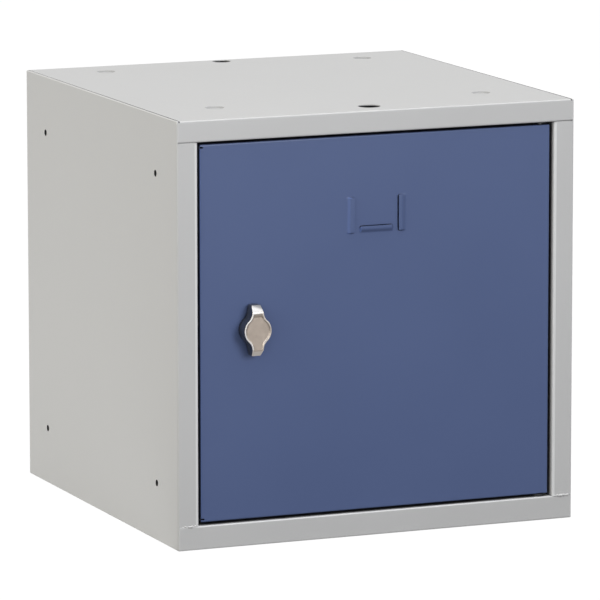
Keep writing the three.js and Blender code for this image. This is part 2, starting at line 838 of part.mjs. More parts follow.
// A circle with two flats, left and right
function doubleD(grow) {
  const radius = barrelRadius + grow;
  const angle = Math.acos((barrelFlatWidth / 2 + grow) / radius);
  const shape = new THREE.Shape();
  shape.absarc(0, 0, radius, angle, Math.PI - angle, false);
  shape.absarc(0, 0, radius, Math.PI + angle, 2 * Math.PI - angle, false);
  shape.closePath();
  return shape;
}

// A part of a ring, from one angle to another
function ringSector(inner, outer, fromAngle, toAngle) {
  const shape = new THREE.Shape();
  shape.absarc(0, 0, outer, fromAngle, toAngle, false);
  shape.absarc(0, 0, inner, toAngle, fromAngle, true);
  shape.closePath();
  return shape;
}

// The stop lug's half angle and the angle that its middle stands at
const lugHalfAngle = (quarterTurn * stopLugShare) / 2;
const lugAngle = quarterTurn / 2;

function lockBody() {
  const chamferStart = collarChamfer - collarThickness;
  const collar = joined(
    rod("y", collarRadius, chamferStart, 0),
    rod("y", collarRadius - collarChamfer, -collarThickness, chamferStart, [0, 0, 0], collarRadius),
  );
  const barrel = extruded("y", doubleD(0), -collarChamfer, barrelEnd, curveSteps);
  const lugAngles = [lugAngle - lugHalfAngle, lugAngle + lugHalfAngle];
  const lugShape = ringSector(stopNotchRadius + fitGap, stopWasherRadius, ...lugAngles);
  const lugEnd = stopWasherFront + stopWasherThickness / 2;
  const lug = extruded("y", lugShape, barrelEnd - overrun, lugEnd);
  const bore = rod("y", boreRadius(spindleRadius, runningGap), -collarThickness - overrun, camFront);
  return meshOf("lock_body", cut(joined(collar, barrel, lug), bore), zincPlate());
}

function lockWasher() {
  const from = doorSheet;
  const to = from + lockWasherThickness;
  const ring = rod("y", lockWasherRadius, from, to);
  const hole = rod("y", boreRadius(barrelRadius, fitGap), from - overrun, to + overrun);
  return meshOf("lock_washer", cut(ring, hole), zincPlate());
}

function lockNut() {
  const from = doorSheet + lockWasherThickness;
  const to = from + lockNutThickness;
  const cornerRadius = lockNutWidth / 2 / Math.cos(Math.PI / 6);
  const hexagon = Array.from({ length: 6 }, (none, index) => {
    const angle = (index * Math.PI) / 3;
    return new THREE.Vector2(cornerRadius * Math.cos(angle), cornerRadius * Math.sin(angle));
  });
  const hole = rod("y", boreRadius(barrelRadius, fitGap), from - overrun, to + overrun);
  return meshOf("lock_nut", cut(extruded("y", new THREE.Shape(hexagon), from, to), hole), zincPlate());
}

function squareHole(from, to) {
  const half = squareWidth / 2 + fitGap;
  return block(-half, half, from - overrun, to + overrun, -half, half);
}

function stopWasher() {
  const to = stopWasherFront + stopWasherThickness;
  const play = lugHalfAngle + quarterTurn * stopPlayShare;
  const notchEnds = [lugAngle - play, lugAngle + quarterTurn + play];
  const notch = ringSector(stopNotchRadius, stopWasherRadius + overrun, ...notchEnds);
  const tool = extruded("y", notch, stopWasherFront - overrun, to + overrun, curveSteps);
  const disc = rod("y", stopWasherRadius, stopWasherFront, to);
  return meshOf("stop_washer", cut(disc, tool, squareHole(stopWasherFront, to)), zincPlate());
}

// The cam points down at rest, a round hub and a round tip joined by straight sides.
function latchCam() {
  const reach = camLength - camTipRadius;
  const lean = Math.acos((camHubRadius - camTipRadius) / reach);
  const down = -quarterTurn;
  const shape = new THREE.Shape();
  shape.absarc(0, -reach, camTipRadius, down - lean, down + lean, false);
  shape.absarc(0, 0, camHubRadius, down + lean, down - lean + 2 * Math.PI, false);
  shape.closePath();
  const plate = extruded("y", shape, camFront, camBack, curveSteps);
  return meshOf("latch_cam", cut(plate, squareHole(camFront, camBack)), zincPlate());
}

function camWasher() {
  const to = camBack + camWasherThickness;
  const ring = rod("y", camWasherRadius, camBack, to);
  const hole = rod("y", boreRadius(screwRadius, fitGap), camBack - overrun, to + overrun);
  return meshOf("cam_washer", cut(ring, hole), zincPlate());
}

function camScrew() {
  const seat = camBack + camWasherThickness;
  const top = seat + screwHeadHeight;
  const shank = rod("y", screwRadius, camBack - screwLength + overrun, seat + screwHeadHeight / 2);
  const head = rod("y", screwHeadRadius, seat, top);
  const arm = screwHeadRadius + overrun;
  const half = screwSlotWidth / 2;
  const slot = block(-arm, arm, top - screwSlotDepth, top + overrun, -half, half);
  return meshOf("cam_screw", cut(joined(shank, head), slot), zincPlate());
}

// Assembly

function groupOf(meshes, x, y, z) {
  const group = new THREE.Group();
  group.add(...meshes);
  group.position.set(x, y, z);
  return group;
}

const buffers = bufferPlaces();
const carcass = groupOf(
  [
    leftSidePanel(),
    rightSidePanel(),
    topPanel(),
    bottomPanel(),
    backPanel(),
    doorBuffer("upper_door_buffer", buffers.upper),
    doorBuffer("lower_door_buffer", buffers.lower),
  ],
  0,
  0,
  0,
);
const upperHinge = groupOf(
  [hingeBush("upper_hinge_bush", 1), hingeBracket("upper_hinge_bracket", 1), hingePin("upper_hinge_pin", 1)],
  pivotX,
  pivotY,
  doorTop,
);
const lowerHinge = groupOf(
  [
    hingeBush("lower_hinge_bush", -1),
    thrustWasher(),
    hingeBracket("lower_hinge_bracket", -1),
    hingePin("lower_hinge_pin", -1),
  ],
  pivotX,
  pivotY,
  doorBottom,
);
const latch = groupOf(
  [lockBody(), lockWasher(), lockNut(), turnKnob(), stopWasher(), latchCam(), camWasher(), camScrew()],
  knobX,
  doorFront,
  knobZ,
);
const locker = groupOf([carcass, upperHinge, lowerHinge, doorPanel(), doorStiffener(), latch], 0, 0, 0);

export default locker;
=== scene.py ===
import json
import math

import bmesh
import bpy
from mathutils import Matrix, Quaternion, Vector, noise


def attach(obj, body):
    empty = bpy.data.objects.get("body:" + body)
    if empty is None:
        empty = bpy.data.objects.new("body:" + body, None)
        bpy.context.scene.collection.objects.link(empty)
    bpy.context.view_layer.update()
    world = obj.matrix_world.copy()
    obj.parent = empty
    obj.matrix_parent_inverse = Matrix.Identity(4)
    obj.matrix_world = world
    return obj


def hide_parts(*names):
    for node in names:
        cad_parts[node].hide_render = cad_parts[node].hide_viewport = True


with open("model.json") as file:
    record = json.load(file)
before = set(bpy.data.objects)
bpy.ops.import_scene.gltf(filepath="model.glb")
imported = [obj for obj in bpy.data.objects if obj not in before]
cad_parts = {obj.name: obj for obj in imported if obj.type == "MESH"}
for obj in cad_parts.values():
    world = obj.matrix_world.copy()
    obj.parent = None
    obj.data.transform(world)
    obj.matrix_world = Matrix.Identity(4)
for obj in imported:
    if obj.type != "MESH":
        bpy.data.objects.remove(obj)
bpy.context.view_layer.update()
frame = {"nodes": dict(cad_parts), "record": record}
mm = 0.001
latchAxis = (-118.9, -187.5, 192.95)  # where the knob's axis meets the door's face, in millimetres

# Camera

camera = {
    "place": (-1.98188, -4.76003, 1.05546),
    "turn": 22.655,  # degrees to the right of +Y
    "dip": 9.621,  # degrees below the horizon
    "roll": -0.04,
    "lens": 343.86,
}


def makeCamera():
    data = bpy.data.cameras.new("camera")
    data.lens = camera["lens"]
    data.sensor_width = 36
    item = bpy.data.objects.new("camera", data)
    bpy.context.scene.collection.objects.link(item)
    item.location = camera["place"]
    item.rotation_mode = "QUATERNION"
    turn = Quaternion((0, 0, 1), -math.radians(camera["turn"]))
    dip = Quaternion((1, 0, 0), math.radians(90 - camera["dip"]))
    roll = Quaternion((0, 0, 1), math.radians(camera["roll"]))
    item.rotation_quaternion = turn @ dip @ roll
    bpy.context.scene.camera = item


makeCamera()
print("camera made")

# Shader expressions: a wire is one output socket, and sums on wires add Math nodes


class Wire:
    def __init__(self, finish, socket):
        self.finish = finish
        self.socket = socket

    def maths(self, operation, first, second=0.0):
        return self.finish.node("ShaderNodeMath", {"operation": operation}, {0: first, 1: second})

    def __add__(self, other):
        return self.maths("ADD", self, other)

    def __sub__(self, other):
        return self.maths("SUBTRACT", self, other)

    def __mul__(self, other):
        return self.maths("MULTIPLY", self, other)

    def __radd__(self, other):
        return self.maths("ADD", other, self)

    def __rsub__(self, other):
        return self.maths("SUBTRACT", other, self)

    def __rmul__(self, other):
        return self.maths("MULTIPLY", other, self)

    def atLeast(self, other):
        return self.maths("MAXIMUM", self, other)

    def size(self):
        return self.maths("ABSOLUTE", self)


# The node tree of one material or of the world
class Finish:
    def __init__(self, owner):
        owner.use_nodes = True
        self.owner = owner
        self.tree = owner.node_tree
        self.tree.nodes.clear()

    # settings are set on the node, inputs are values or wires
    def node(self, kind, settings=None, inputs=None, output=0):
        made = self.tree.nodes.new(kind)
        for name, value in (settings or {}).items():
            setattr(made, name, value)
        for name, value in (inputs or {}).items():
            if isinstance(value, Wire):
                self.tree.links.new(value.socket, made.inputs[name])
            else:
                made.inputs[name].default_value = value
        return Wire(self, made.outputs[output] if len(made.outputs) else None)

    def place(self):
        return self.node("ShaderNodeTexCoord", None, None, "Object")

    def parts(self, vector):
        return [self.node("ShaderNodeSeparateXYZ", None, {0: vector}, axis) for axis in range(3)]

    # How far the surface faces to the right, to the back and up
    def facing(self):
        return self.parts(self.node("ShaderNodeTexCoord", None, None, "Normal"))

    def blend(self, share, first, second):
        return self.node("ShaderNodeMix", {"data_type": "RGBA"}, {0: share, 6: first, 7: second}, 2)

    def grain(self, place, size, detail=2.0, roughness=0.5, distortion=0.0):
        values = {"Vector": place, "Scale": 1 / size, "Detail": detail, "Roughness": roughness}
        return self.node("ShaderNodeTexNoise", None, {**values, "Distortion": distortion})

    # 0 below one value, 1 above another, and smooth between them
    def rise(self, wire, low, high):
        settings = {"interpolation_type": "SMOOTHSTEP", "clamp": True}
        values = {"Value": wire, "From Min": low, "From Max": high}
        return self.node("ShaderNodeMapRange", settings, values)

    def fall(self, wire, low, high):
        return 1 - self.rise(wire, low, high)

    # 1 on a rounded edge, 0 on the flats, where edges are made lighter, partly as wear and partly as a
    # painted highlight
    def edge(self, radius, low, high):
        soft = self.node("ShaderNodeBevel", {"samples": 6}, {"Radius": radius})
        true = self.node("ShaderNodeNewGeometry", None, None, "Normal")
        settings = {"operation": "DOT_PRODUCT"}
        alike = self.node("ShaderNodeVectorMath", settings, {0: soft, 1: true}, "Value")
        return self.rise(1 - alike, low, high)

    # 0 on a flat that faces along an axis, and 1 on a bend
    def bend(self, low, high):
        across, deep, up = self.facing()
        return self.rise(1 - across.size().atLeast(deep.size()).atLeast(up.size()), low, high)

    # 1 where other surfaces close in within a distance, as in gaps and slots, and 0 in the open, where
    # the finishes paint shade
    def crevice(self, distance, dark, clear):
        openness = self.node("ShaderNodeAmbientOcclusion", {"samples": 8}, {"Distance": distance}, "AO")
        return self.fall(openness, dark, clear)

    def bump(self, height, strength, distance, under=None):
        values = {"Height": height, "Strength": strength, "Distance": distance}
        if under is not None:
            values["Normal"] = under
        return self.node("ShaderNodeBump", None, values)

    def shade(self, **inputs):
        spaced = {name.replace("_", " "): value for name, value in inputs.items()}
        surface = self.node("ShaderNodeBsdfPrincipled", None, spaced)
        self.node("ShaderNodeOutputMaterial", None, {"Surface": surface})
        return self.owner


def newFinish(name):
    return Finish(bpy.data.materials.new(name))


# The colour that a screen's red, green and blue, each out of 255, stand for
def linear(red, green, blue):
    def one(value):
        share = value / 255
        return share / 12.92 if share <= 0.04045 else ((share + 0.055) / 1.055) ** 2.4

    return (one(red), one(green), one(blue), 1)


def shaded(colour, factor):
    return (colour[0] * factor, colour[1] * factor, colour[2] * factor, 1)


# Stage: floor, world and lamps

stage = {
    "floorSize": 40,
    "floorDrop": 0.0002,
    "floorColour": (0.8, 0.8, 0.8, 1),
    "whiteShare": 0.95,
    "whiteStrength": 1.05,
    "skyColour": (0.4, 0.4, 0.4, 1),
    "shadeColour": (0.26, 0.25, 0.24, 1),  # darker paper: in front of the locker seen only in reflections and bounced light, and under the locker as painted shade
    "shadeFrom": (-1.1, -2.6),
    "shadeTo": (2.6, -0.2),
    "shadeSoftness": 0.03,
    "footHalf": 0.18,  # half of the square of painted shade under the locker
    "footSoftness": 0.002,
}
whiteRays = ("Is Camera Ray", "Is Glossy Ray", "Is Transmission Ray")  # those that see a white backdrop
lockerMiddle = (0, 0, 0.19)
lamps = {
    "overhead": {
        "place": (0.2, 0.1, 4.2),
        "aim": lockerMiddle,
        "size": 4.1,
        "power": 56.5,
        "colour": (0.98, 0.98, 1),
    },
    "left": {
        "place": (-3.0, -0.6, 1.5),
        "aim": lockerMiddle,
        "size": 1.6,
        "power": 22,
        "colour": (1, 0.95, 0.81),
    },
    "leftLow": {
        "place": (-1.7, -2.6, 0.7),
        "aim": (0, 0, 0.1),
        "size": 1.6,
        "power": 10.5,
        "colour": (1, 1, 1),
    },
    "key": {
        "place": (0.6, -2.6, 1.1),
        "aim": (-2.4, -0.4, 0.45),  # past the locker, so that its light falls off to the right
        "size": 1.2,
        "power": 33.2,
        "colour": (0.92, 0.945, 1),
    },
}


# 1 for rays of the named kinds, and 0 for all others
def seenBy(finish, *names):
    rays = [finish.node("ShaderNodeLightPath", None, None, name) for name in names]
    whole = rays[0]
    for ray in rays[1:]:
        whole = whole.atLeast(ray)
    return whole


def makeFloor():
    mesh = bpy.data.meshes.new("floor")
    shape = bmesh.new()
    bmesh.ops.create_grid(shape, x_segments=8, y_segments=8, size=stage["floorSize"] / 2)
    shape.to_mesh(mesh)
    shape.free()
    floor = bpy.data.objects.new("floor", mesh)
    floor.location.z = -stage["floorDrop"]
    bpy.context.scene.collection.objects.link(floor)
    finish = newFinish("floorPaper")
    across, deep, _ = finish.parts(finish.node("ShaderNodeNewGeometry", None, None, "Position"))
    soft = stage["shadeSoftness"]
    inside = 1
    for wire, low, high in zip((across, deep), stage["shadeFrom"], stage["shadeTo"]):
        inside = inside * finish.rise(wire, low - soft, low) * finish.fall(wire, high, high + soft)
    foot = stage["footHalf"]
    # painted shade on the floor under the locker
    under = finish.fall(across.size().atLeast(deep.size()), foot, foot + stage["footSoftness"])
    dark = (inside * (1 - seenBy(finish, "Is Camera Ray"))).atLeast(under)
    tone = finish.blend(dark, stage["floorColour"], stage["shadeColour"])
    lit = finish.node("ShaderNodeBsdfDiffuse", None, {"Color": tone})
    glow = {"Color": (1, 1, 1, 1), "Strength": stage["whiteStrength"]}
    white = finish.node("ShaderNodeEmission", None, glow)
    bright = seenBy(finish, *whiteRays)
    share = bright * (1 - dark) * stage["whiteShare"]
    surface = finish.node("ShaderNodeMixShader", None, {0: share, 1: lit, 2: white})
    finish.node("ShaderNodeOutputMaterial", None, {"Surface": surface})
    mesh.materials.append(finish.owner)


def makeSky():
    world = bpy.data.worlds.new("sky")
    bpy.context.scene.world = world
    finish = Finish(world)
    bright = seenBy(finish, *whiteRays)
    colour = finish.blend(bright, stage["skyColour"], (1, 1, 1, 1))
    light = finish.node("ShaderNodeBackground", None, {"Color": colour, "Strength": 1.0})
    finish.node("ShaderNodeOutputWorld", None, {"Surface": light})


def makeLamps():
    for name, lamp in lamps.items():
        data = bpy.data.lights.new(name + "Lamp", "AREA")
        data.shape = "SQUARE"
        data.size = lamp["size"]
        data.energy = lamp["power"]
        data.color = lamp["colour"]
        item = bpy.data.objects.new(name + "Lamp", data)
        bpy.context.scene.collection.objects.link(item)
        item.location = lamp["place"]
        aim = Vector(lamp["aim"]) - item.location
        item.rotation_mode = "QUATERNION"
        item.rotation_quaternion = aim.to_track_quat("-Z", "Y")


makeFloor()
makeSky()
makeLamps()
bpy.context.scene.view_settings.view_transform = "Standard"
print("stage made")

# Finishes

greyPaint = {  # the numbers from edge to dimple are times the colour
    "name": "greyPowderCoat",
    "colour": linear(203, 203, 202),
    # a painted highlight on bends that face left
    "leftBendHighlight": linear(206, 206, 205),
    # edges lighter, as worn paint and as a painted highlight
    "edge": 1.3,
    # bends a little lighter, as a painted highlight
    "bend": 1.04,
    "brightEdge": 1.33,  # a painted highlight on the inner bends of the stiles, and on those of the top
    "sill": 1.55,  # a painted highlight on the bottom rail's upper bend
    # the top's dimples and hole edges darker, as painted shade
    "dimple": 0.82,
    "shelter": 0.3,  # how much of the painted shade in gaps a bend keeps at the front and on the right
    "ior": 1.5,
}
bluePaint = {
    "name": "bluePowderCoat",
    "colour": linear(85, 101, 142),
    # a painted highlight on bends that face left
    "leftBendHighlight": linear(93, 114, 168),
    # edges lighter, as worn paint and as a painted highlight
    "edge": 1.5,
    # the door's bends darker, as painted shade
    "bend": 0.84,
    "brightEdge": 1.0,
    "sill": 1.0,
    "dimple": 0.82,
    "shelter": 1.0,
    "ior": 1.4,
}
powderCoat = {
    "peelSize": 0.0013,  # from bump to bump of the orange peel
    "peelDepth": 0.00003,
    "peelStrength": 0.35,
    "peelRoughness": 0.45,
    "fleck": 3,  # times the peel's size
    "cloudSize": 0.11,
    "cloudDetail": 3.0,
    "cloudShare": 0.03,
    "wearAndHighlight": (0.0009, 0.02, 0.2),  # reach of the edges lightened as worn paint and as a painted highlight, and where the mask starts and is whole
    "wearAndHighlightShare": 0.4,
    "gap": (0.007, 0.3, 0.58),  # reach of the painted shade in gaps, and the openness where it is whole and gone
    # the same painted shade for narrow seams and slits
    "seam": (0.002, 0.5, 0.92),
    "slitFade": 0.6,
    # the colour of the painted shade in gaps, slits and holes
    "paintedShade": (0.02, 0.02, 0.024, 1),
    "paintedShadeShare": 0.93,
    "roughness": 0.36,
    "cloudRough": 0.12,
    "fleckRough": 0.06,
    "wornSmooth": 0.1,
}
facings = {  # how far a surface has to face a way for a mask to come in, out of 1
    "bend": (0.03, 0.22),
    "left": (0.02, 0.2),
    "sill": (0.15, 0.5),
    "sideFlat": (0.3, 0.6),
}
spans = {  # where each mask comes in or goes out, in metres from the middle of the base
    "lipInner": (0.1685, 0.169),  # the lip is the first few millimetres of each stile's inner bend
    "lipOuter": (0.1728, 0.1735),
    "lipBack": (-0.186, -0.184),
    "lipFoot": (0.0212, 0.0218),
    "lipHead": (0.3585, 0.36),
    "sillHead": (0.03, 0.04),
    "lid": (0.3765, 0.3785),
    "lidRim": (0.184, 0.187),
    "foot": (0.0005, 0.005),
    "frontBack": (-0.184, -0.18),
    "rightHand": (0.17, 0.18),
    "slitInner": (0.1866, 0.187),
    "slitOuter": (0.188, 0.1883),
    "slitFloor": (0.3782, 0.3788),
    "slitMouth": (0.3798, 0.37998),
    "slitBack": (-0.1, 0.19),
    "sideWall": (0.1885, 0.1889),
    "boltDepth": (0.17, 0.18),
    "boltFoot": (0.01, 0.02),
    "boltHead": (0.36, 0.37),
}


# 1 on the first millimetres of the stiles' inner bends, beside the door, where a highlight is painted
def stileLips(finish, across, deep, height):
    lip = finish.rise(across.size(), *spans["lipInner"])
    lip = lip * finish.fall(across.size(), *spans["lipOuter"])
    lip = lip * finish.fall(deep, *spans["lipBack"])
    return lip * finish.rise(height, *spans["lipFoot"]) * finish.fall(height, *spans["lipHead"])


# 1 in the two slits along the lid, and less towards the back, where shade is painted
def lidSlits(finish, across, deep, height):
    slit = finish.rise(across.size(), *spans["slitInner"])
    slit = slit * finish.fall(across.size(), *spans["slitOuter"])
    slit = slit * finish.rise(height, *spans["slitFloor"]) * finish.fall(height, *spans["slitMouth"])
    return slit * (1 - finish.rise(deep, *spans["slitBack"]) * powderCoat["slitFade"])


# 1 on the walls of the side bolt holes, where shade is painted
def boltHoles(finish, across, deep, height):
    rightward = finish.facing()[0]
    wall = finish.rise(across.size(), *spans["sideWall"])
    wall = wall * finish.fall(rightward.size(), *facings["sideFlat"])
    wall = wall * finish.fall(deep.size(), *spans["boltDepth"])
    return wall * finish.rise(height, *spans["boltFoot"]) * finish.fall(height, *spans["boltHead"])


def makePowderCoat(paint, sheltered=True):
    def times(factor):
        return shaded(paint["colour"], factor)

    finish = newFinish(paint["name"])
    place = finish.place()
    across, deep, height = finish.parts(place)
    rightward, _, upward = finish.facing()
    cloud = finish.grain(place, powderCoat["cloudSize"], powderCoat["cloudDetail"])
    fleck = finish.grain(place, powderCoat["peelSize"] * powderCoat["fleck"])
    peel = finish.grain(place, powderCoat["peelSize"], 2.0, powderCoat["peelRoughness"])
    wearAndHighlight = finish.edge(*powderCoat["wearAndHighlight"]) * powderCoat["wearAndHighlightShare"]
    bend = finish.bend(*facings["bend"])
    lip = stileLips(finish, across, deep, height)
    lid = bend * finish.rise(height, *spans["lid"])
    rim = finish.rise(across.size().atLeast(deep.size()), *spans["lidRim"])
    sill = bend * finish.rise(upward, *facings["sill"]) * finish.fall(height, *spans["sillHead"])
    share = powderCoat["cloudShare"]
    tone = finish.blend(cloud, times(1 - share), times(1 + share))
    leftward = finish.rise(rightward * -1, *facings["left"])
    # bends get painted highlight or painted shade, and a painted highlight where they face left
    bendLightAndShade = finish.blend(leftward, times(paint["bend"]), paint["leftBendHighlight"])
    tone = finish.blend(bend, tone, bendLightAndShade)
    # painted highlight on the stiles' inner bends and the top's outer bends
    tone = finish.blend(lip.atLeast(lid * rim), tone, times(paint["brightEdge"]))
    # painted shade in the top's dimples and holes
    tone = finish.blend(lid * (1 - rim), tone, times(paint["dimple"]))
    # edges lighter, as worn paint and as a painted highlight
    tone = finish.blend(wearAndHighlight, tone, times(paint["edge"]))
    # a painted highlight on the bottom rail's upper bend
    tone = finish.blend(sill, tone, times(paint["sill"]))
    if sheltered:
        # painted shade in gaps, seams, the lid's slits and the bolt holes' walls, less of it on the
        # bends at the front
        near = finish.fall(deep, *spans["frontBack"]).atLeast(finish.rise(across, *spans["rightHand"]))
        seam = finish.crevice(*powderCoat["seam"]) * (1 - sill)
        shut = finish.crevice(*powderCoat["gap"]).atLeast(seam)
        shut = shut * finish.rise(height, *spans["foot"])
        shut = shut * (1 - bend.atLeast(lip) * near * (1 - paint["shelter"]))
        holes = lidSlits(finish, across, deep, height).atLeast(boltHoles(finish, across, deep, height))
        tone = finish.blend(shut.atLeast(holes) * powderCoat["paintedShadeShare"], tone, powderCoat["paintedShade"])
    rough = powderCoat["roughness"] + (cloud - 0.5) * powderCoat["cloudRough"]
    rough = rough + (fleck - 0.5) * powderCoat["fleckRough"] - wearAndHighlight * powderCoat["wornSmooth"]
    relief = finish.bump(peel, powderCoat["peelStrength"], powderCoat["peelDepth"])
    return finish.shade(Base_Color=tone, Roughness=rough, Normal=relief, IOR=paint["ior"])


satin = {
    "colour": (0.59, 0.505, 0.43, 1),
    # the painted highlight on the rim and on the rounded edges
    "bright": (0.97, 0.96, 0.94, 1),
    # painted highlight on the upper slopes, turning to painted shade at their tips, and on the lower
    # slopes
    "slope": (0.7, 0.69, 0.68, 1),
    "slopeTip": (0.25, 0.25, 0.255, 1),
    "lowSlope": (0.95, 0.86, 0.76, 1),
    "side": (0.15, 0.16, 0.18, 1),  # the casting's walls painted dark, as painted shade
    # the colour of the painted shade in crevices
    "paintedShade": (0.035, 0.033, 0.03, 1),
    "cloud": (0.0045, 4.0, 0.6),  # size, detail and roughness of the noise
    "grain": (0.0004, 3.0, 0.6),
    "grainStretch": (1, 1, 0.08),  # the brushing runs up and down
    "cloudTones": (0.86, 1.1),
    # reach of the rounded edges that get a painted highlight, partly as polish
    "brightEdge": (0.0005, 0.02, 0.25),
    "brightEdgeShare": 0.85,
    "wall": (0.25, 0.6),
    "upperSlope": (0.3, 0.55),
    "lowerSlope": (0.2, 0.5),
    "tip": (0.2118, 0.2152),  # where the upper slope's painted highlight turns to painted shade towards its tip
    "tipTilt": 0.35,
    "rim": (-0.20214, -0.20204),  # the face's front, where the rim gets a painted highlight
    "rimShare": 0.9,
    # the rim's painted highlight fades towards the right
    "rimRight": (-0.006, 0.008),
    "rimFade": 0.6,
    "gap": (0.0024, 0.5, 0.96),
    "gapShare": 0.85,
    "metal": 0.85,
    # less metal where the slopes, rim and rounded edges are painted light
    "dullMetal": 0.15,
    "brightEdgeDull": 0.6,
    "rimDull": 0.8,
    "roughness": 0.34,
    "cloudRough": 0.14,
    "grainRough": 0.1,
    "brightEdgeSmooth": 0.1,
    "relief": (0.3, 0.00003),
}


def makeSatinNickel():
    finish = newFinish("satinNickel")
    place = finish.place()
    across, front, height = finish.parts(place)
    right = across - latchAxis[0] * mm
    _, deep, up = finish.facing()
    cloud = finish.grain(place, *satin["cloud"])
    brushing = finish.node("ShaderNodeMapping", None, {"Vector": place, "Scale": satin["grainStretch"]})
    grain = finish.grain(brushing, *satin["grain"])
    brightEdge = finish.edge(*satin["brightEdge"])
    wall = finish.fall(deep.size(), *satin["wall"])
    slope = finish.rise(up, *satin["upperSlope"]) * (1 - wall)
    low = finish.rise(up * -1, *satin["lowerSlope"]) * (1 - wall)
    tip = finish.rise(height + right * satin["tipTilt"], *satin["tip"])
    faded = finish.rise(right, *satin["rimRight"]) * satin["rimFade"]
    rim = finish.fall(front, *satin["rim"]) * (1 - faded)
    darker, lighter = [shaded(satin["colour"], factor) for factor in satin["cloudTones"]]
    tone = finish.blend(cloud, darker, lighter)
    # painted highlight on the rim
    tone = finish.blend(rim * satin["rimShare"], tone, satin["bright"])
    # painted shade on the knob's side walls
    tone = finish.blend(wall, tone, satin["side"])
    # painted highlight on the upper slopes with painted shade near the tip, and on the lower slopes
    tone = finish.blend(slope, tone, finish.blend(tip, satin["slope"], satin["slopeTip"]))
    tone = finish.blend(low, tone, satin["lowSlope"])
    # painted highlight on the rounded edges, partly as polish
    tone = finish.blend(brightEdge * satin["brightEdgeShare"] * (1 - slope), tone, satin["bright"])
    # painted shade in crevices
    tone = finish.blend(finish.crevice(*satin["gap"]) * satin["gapShare"], tone, satin["paintedShade"])
    dull = low.atLeast(brightEdge * satin["brightEdgeDull"]).atLeast(rim * satin["rimDull"])
    metal = satin["metal"] - dull * (satin["metal"] - satin["dullMetal"])
    rough = satin["roughness"] + (cloud - 0.5) * satin["cloudRough"]
    rough = rough + (grain - 0.5) * satin["grainRough"] - brightEdge * satin["brightEdgeSmooth"]
    relief = finish.bump(grain, *satin["relief"])
    return finish.shade(Base_Color=tone, Metallic=metal, Roughness=rough, Normal=relief)


zinc = {
    "colour": (0.62, 0.64, 0.66, 1),
    "warm": (0.68, 0.65, 0.58, 1),
    "bright": (0.78, 0.78, 0.77, 1),
    # the colour of the painted shade in crevices
    "paintedShade": (0.02, 0.02, 0.02, 1),
    "cloud": (0.009, 4.0, 0.6, 0.6),
    "grain": (0.0005, 3.0, 0.6),
    "warmShare": (0.4, 0.72),
    # reach of the edges that are made brighter
    "brightEdge": (0.0005, 0.02, 0.25),
    "brightEdgeShare": 0.5,
    "gap": (0.007, 0.4, 0.9),
    "gapShare": 0.95,
    "roughness": 0.36,
    "cloudRough": 0.2,
    "grainRough": 0.12,
    "brightEdgeSmooth": 0.1,
    "relief": (0.25, 0.00003),
}


def makeZincPlate():
    finish = newFinish("zincPlate")
    place = finish.place()
    cloud = finish.grain(place, *zinc["cloud"])
    grain = finish.grain(place, *zinc["grain"])
    brightEdge = finish.edge(*zinc["brightEdge"])
    tone = finish.blend(finish.rise(cloud, *zinc["warmShare"]), zinc["colour"], zinc["warm"])
    tone = finish.blend(brightEdge * zinc["brightEdgeShare"], tone, zinc["bright"])
    # painted shade in crevices
    tone = finish.blend(finish.crevice(*zinc["gap"]) * zinc["gapShare"], tone, zinc["paintedShade"])
    rough = zinc["roughness"] + (cloud - 0.5) * zinc["cloudRough"]
    rough = rough + (grain - 0.5) * zinc["grainRough"] - brightEdge * zinc["brightEdgeSmooth"]
    relief = finish.bump(grain, *zinc["relief"])
    return finish.shade(Base_Color=tone, Metallic=1.0, Roughness=rough, Normal=relief)


nylon = {
    "dark": (0.012, 0.012, 0.013, 1),
    "light": (0.03, 0.03, 0.031, 1),
    "cloud": (0.004, 3.0),
    "grain": (0.0004, 2.0),
    "roughness": 0.5,
    "grainRough": 0.1,
    "relief": (0.3, 0.00003),
}


def makeNylon():
    finish = newFinish("blackNylon")
    place = finish.place()
    cloud = finish.grain(place, *nylon["cloud"])
    grain = finish.grain(place, *nylon["grain"])
    tone = finish.blend(cloud, nylon["dark"], nylon["light"])
    relief = finish.bump(grain, *nylon["relief"])
    rough = nylon["roughness"] + (grain - 0.5) * nylon["grainRough"]
    return finish.shade(Base_Color=tone, Roughness=rough, Normal=relief)


rubber = {
    "black": (0.016, 0.016, 0.017, 1),
    "dusty": (0.05, 0.048, 0.045, 1),
    "dust": (0.003, 4.0, 0.6),
    "dustShare": (0.45, 0.8),
    "grain": (0.0003, 2.0),
    "roughness": 0.72,
    "dustRough": 0.2,
    "relief": (0.5, 0.00004),
}


def makeRubber():
    finish = newFinish("blackRubber")
    place = finish.place()
    dust = finish.grain(place, *rubber["dust"])
    grain = finish.grain(place, *rubber["grain"])
    tone = finish.blend(finish.rise(dust, *rubber["dustShare"]), rubber["black"], rubber["dusty"])
    relief = finish.bump(grain, *rubber["relief"])
    rough = rubber["roughness"] + (dust - 0.5) * rubber["dustRough"]
    return finish.shade(Base_Color=tone, Roughness=rough, Normal=relief)


finishes = {
    "carcass_paint": makePowderCoat(greyPaint),
    "door_paint": makePowderCoat(bluePaint),
    "satin_nickel": makeSatinNickel(),
    "zinc_plate": makeZincPlate(),
    "nylon": makeNylon(),
    "rubber": makeRubber(),
}
print("finishes made:", len(finishes))

# Frame nodes: each keeps its shape, and gets its finish and smooth bends

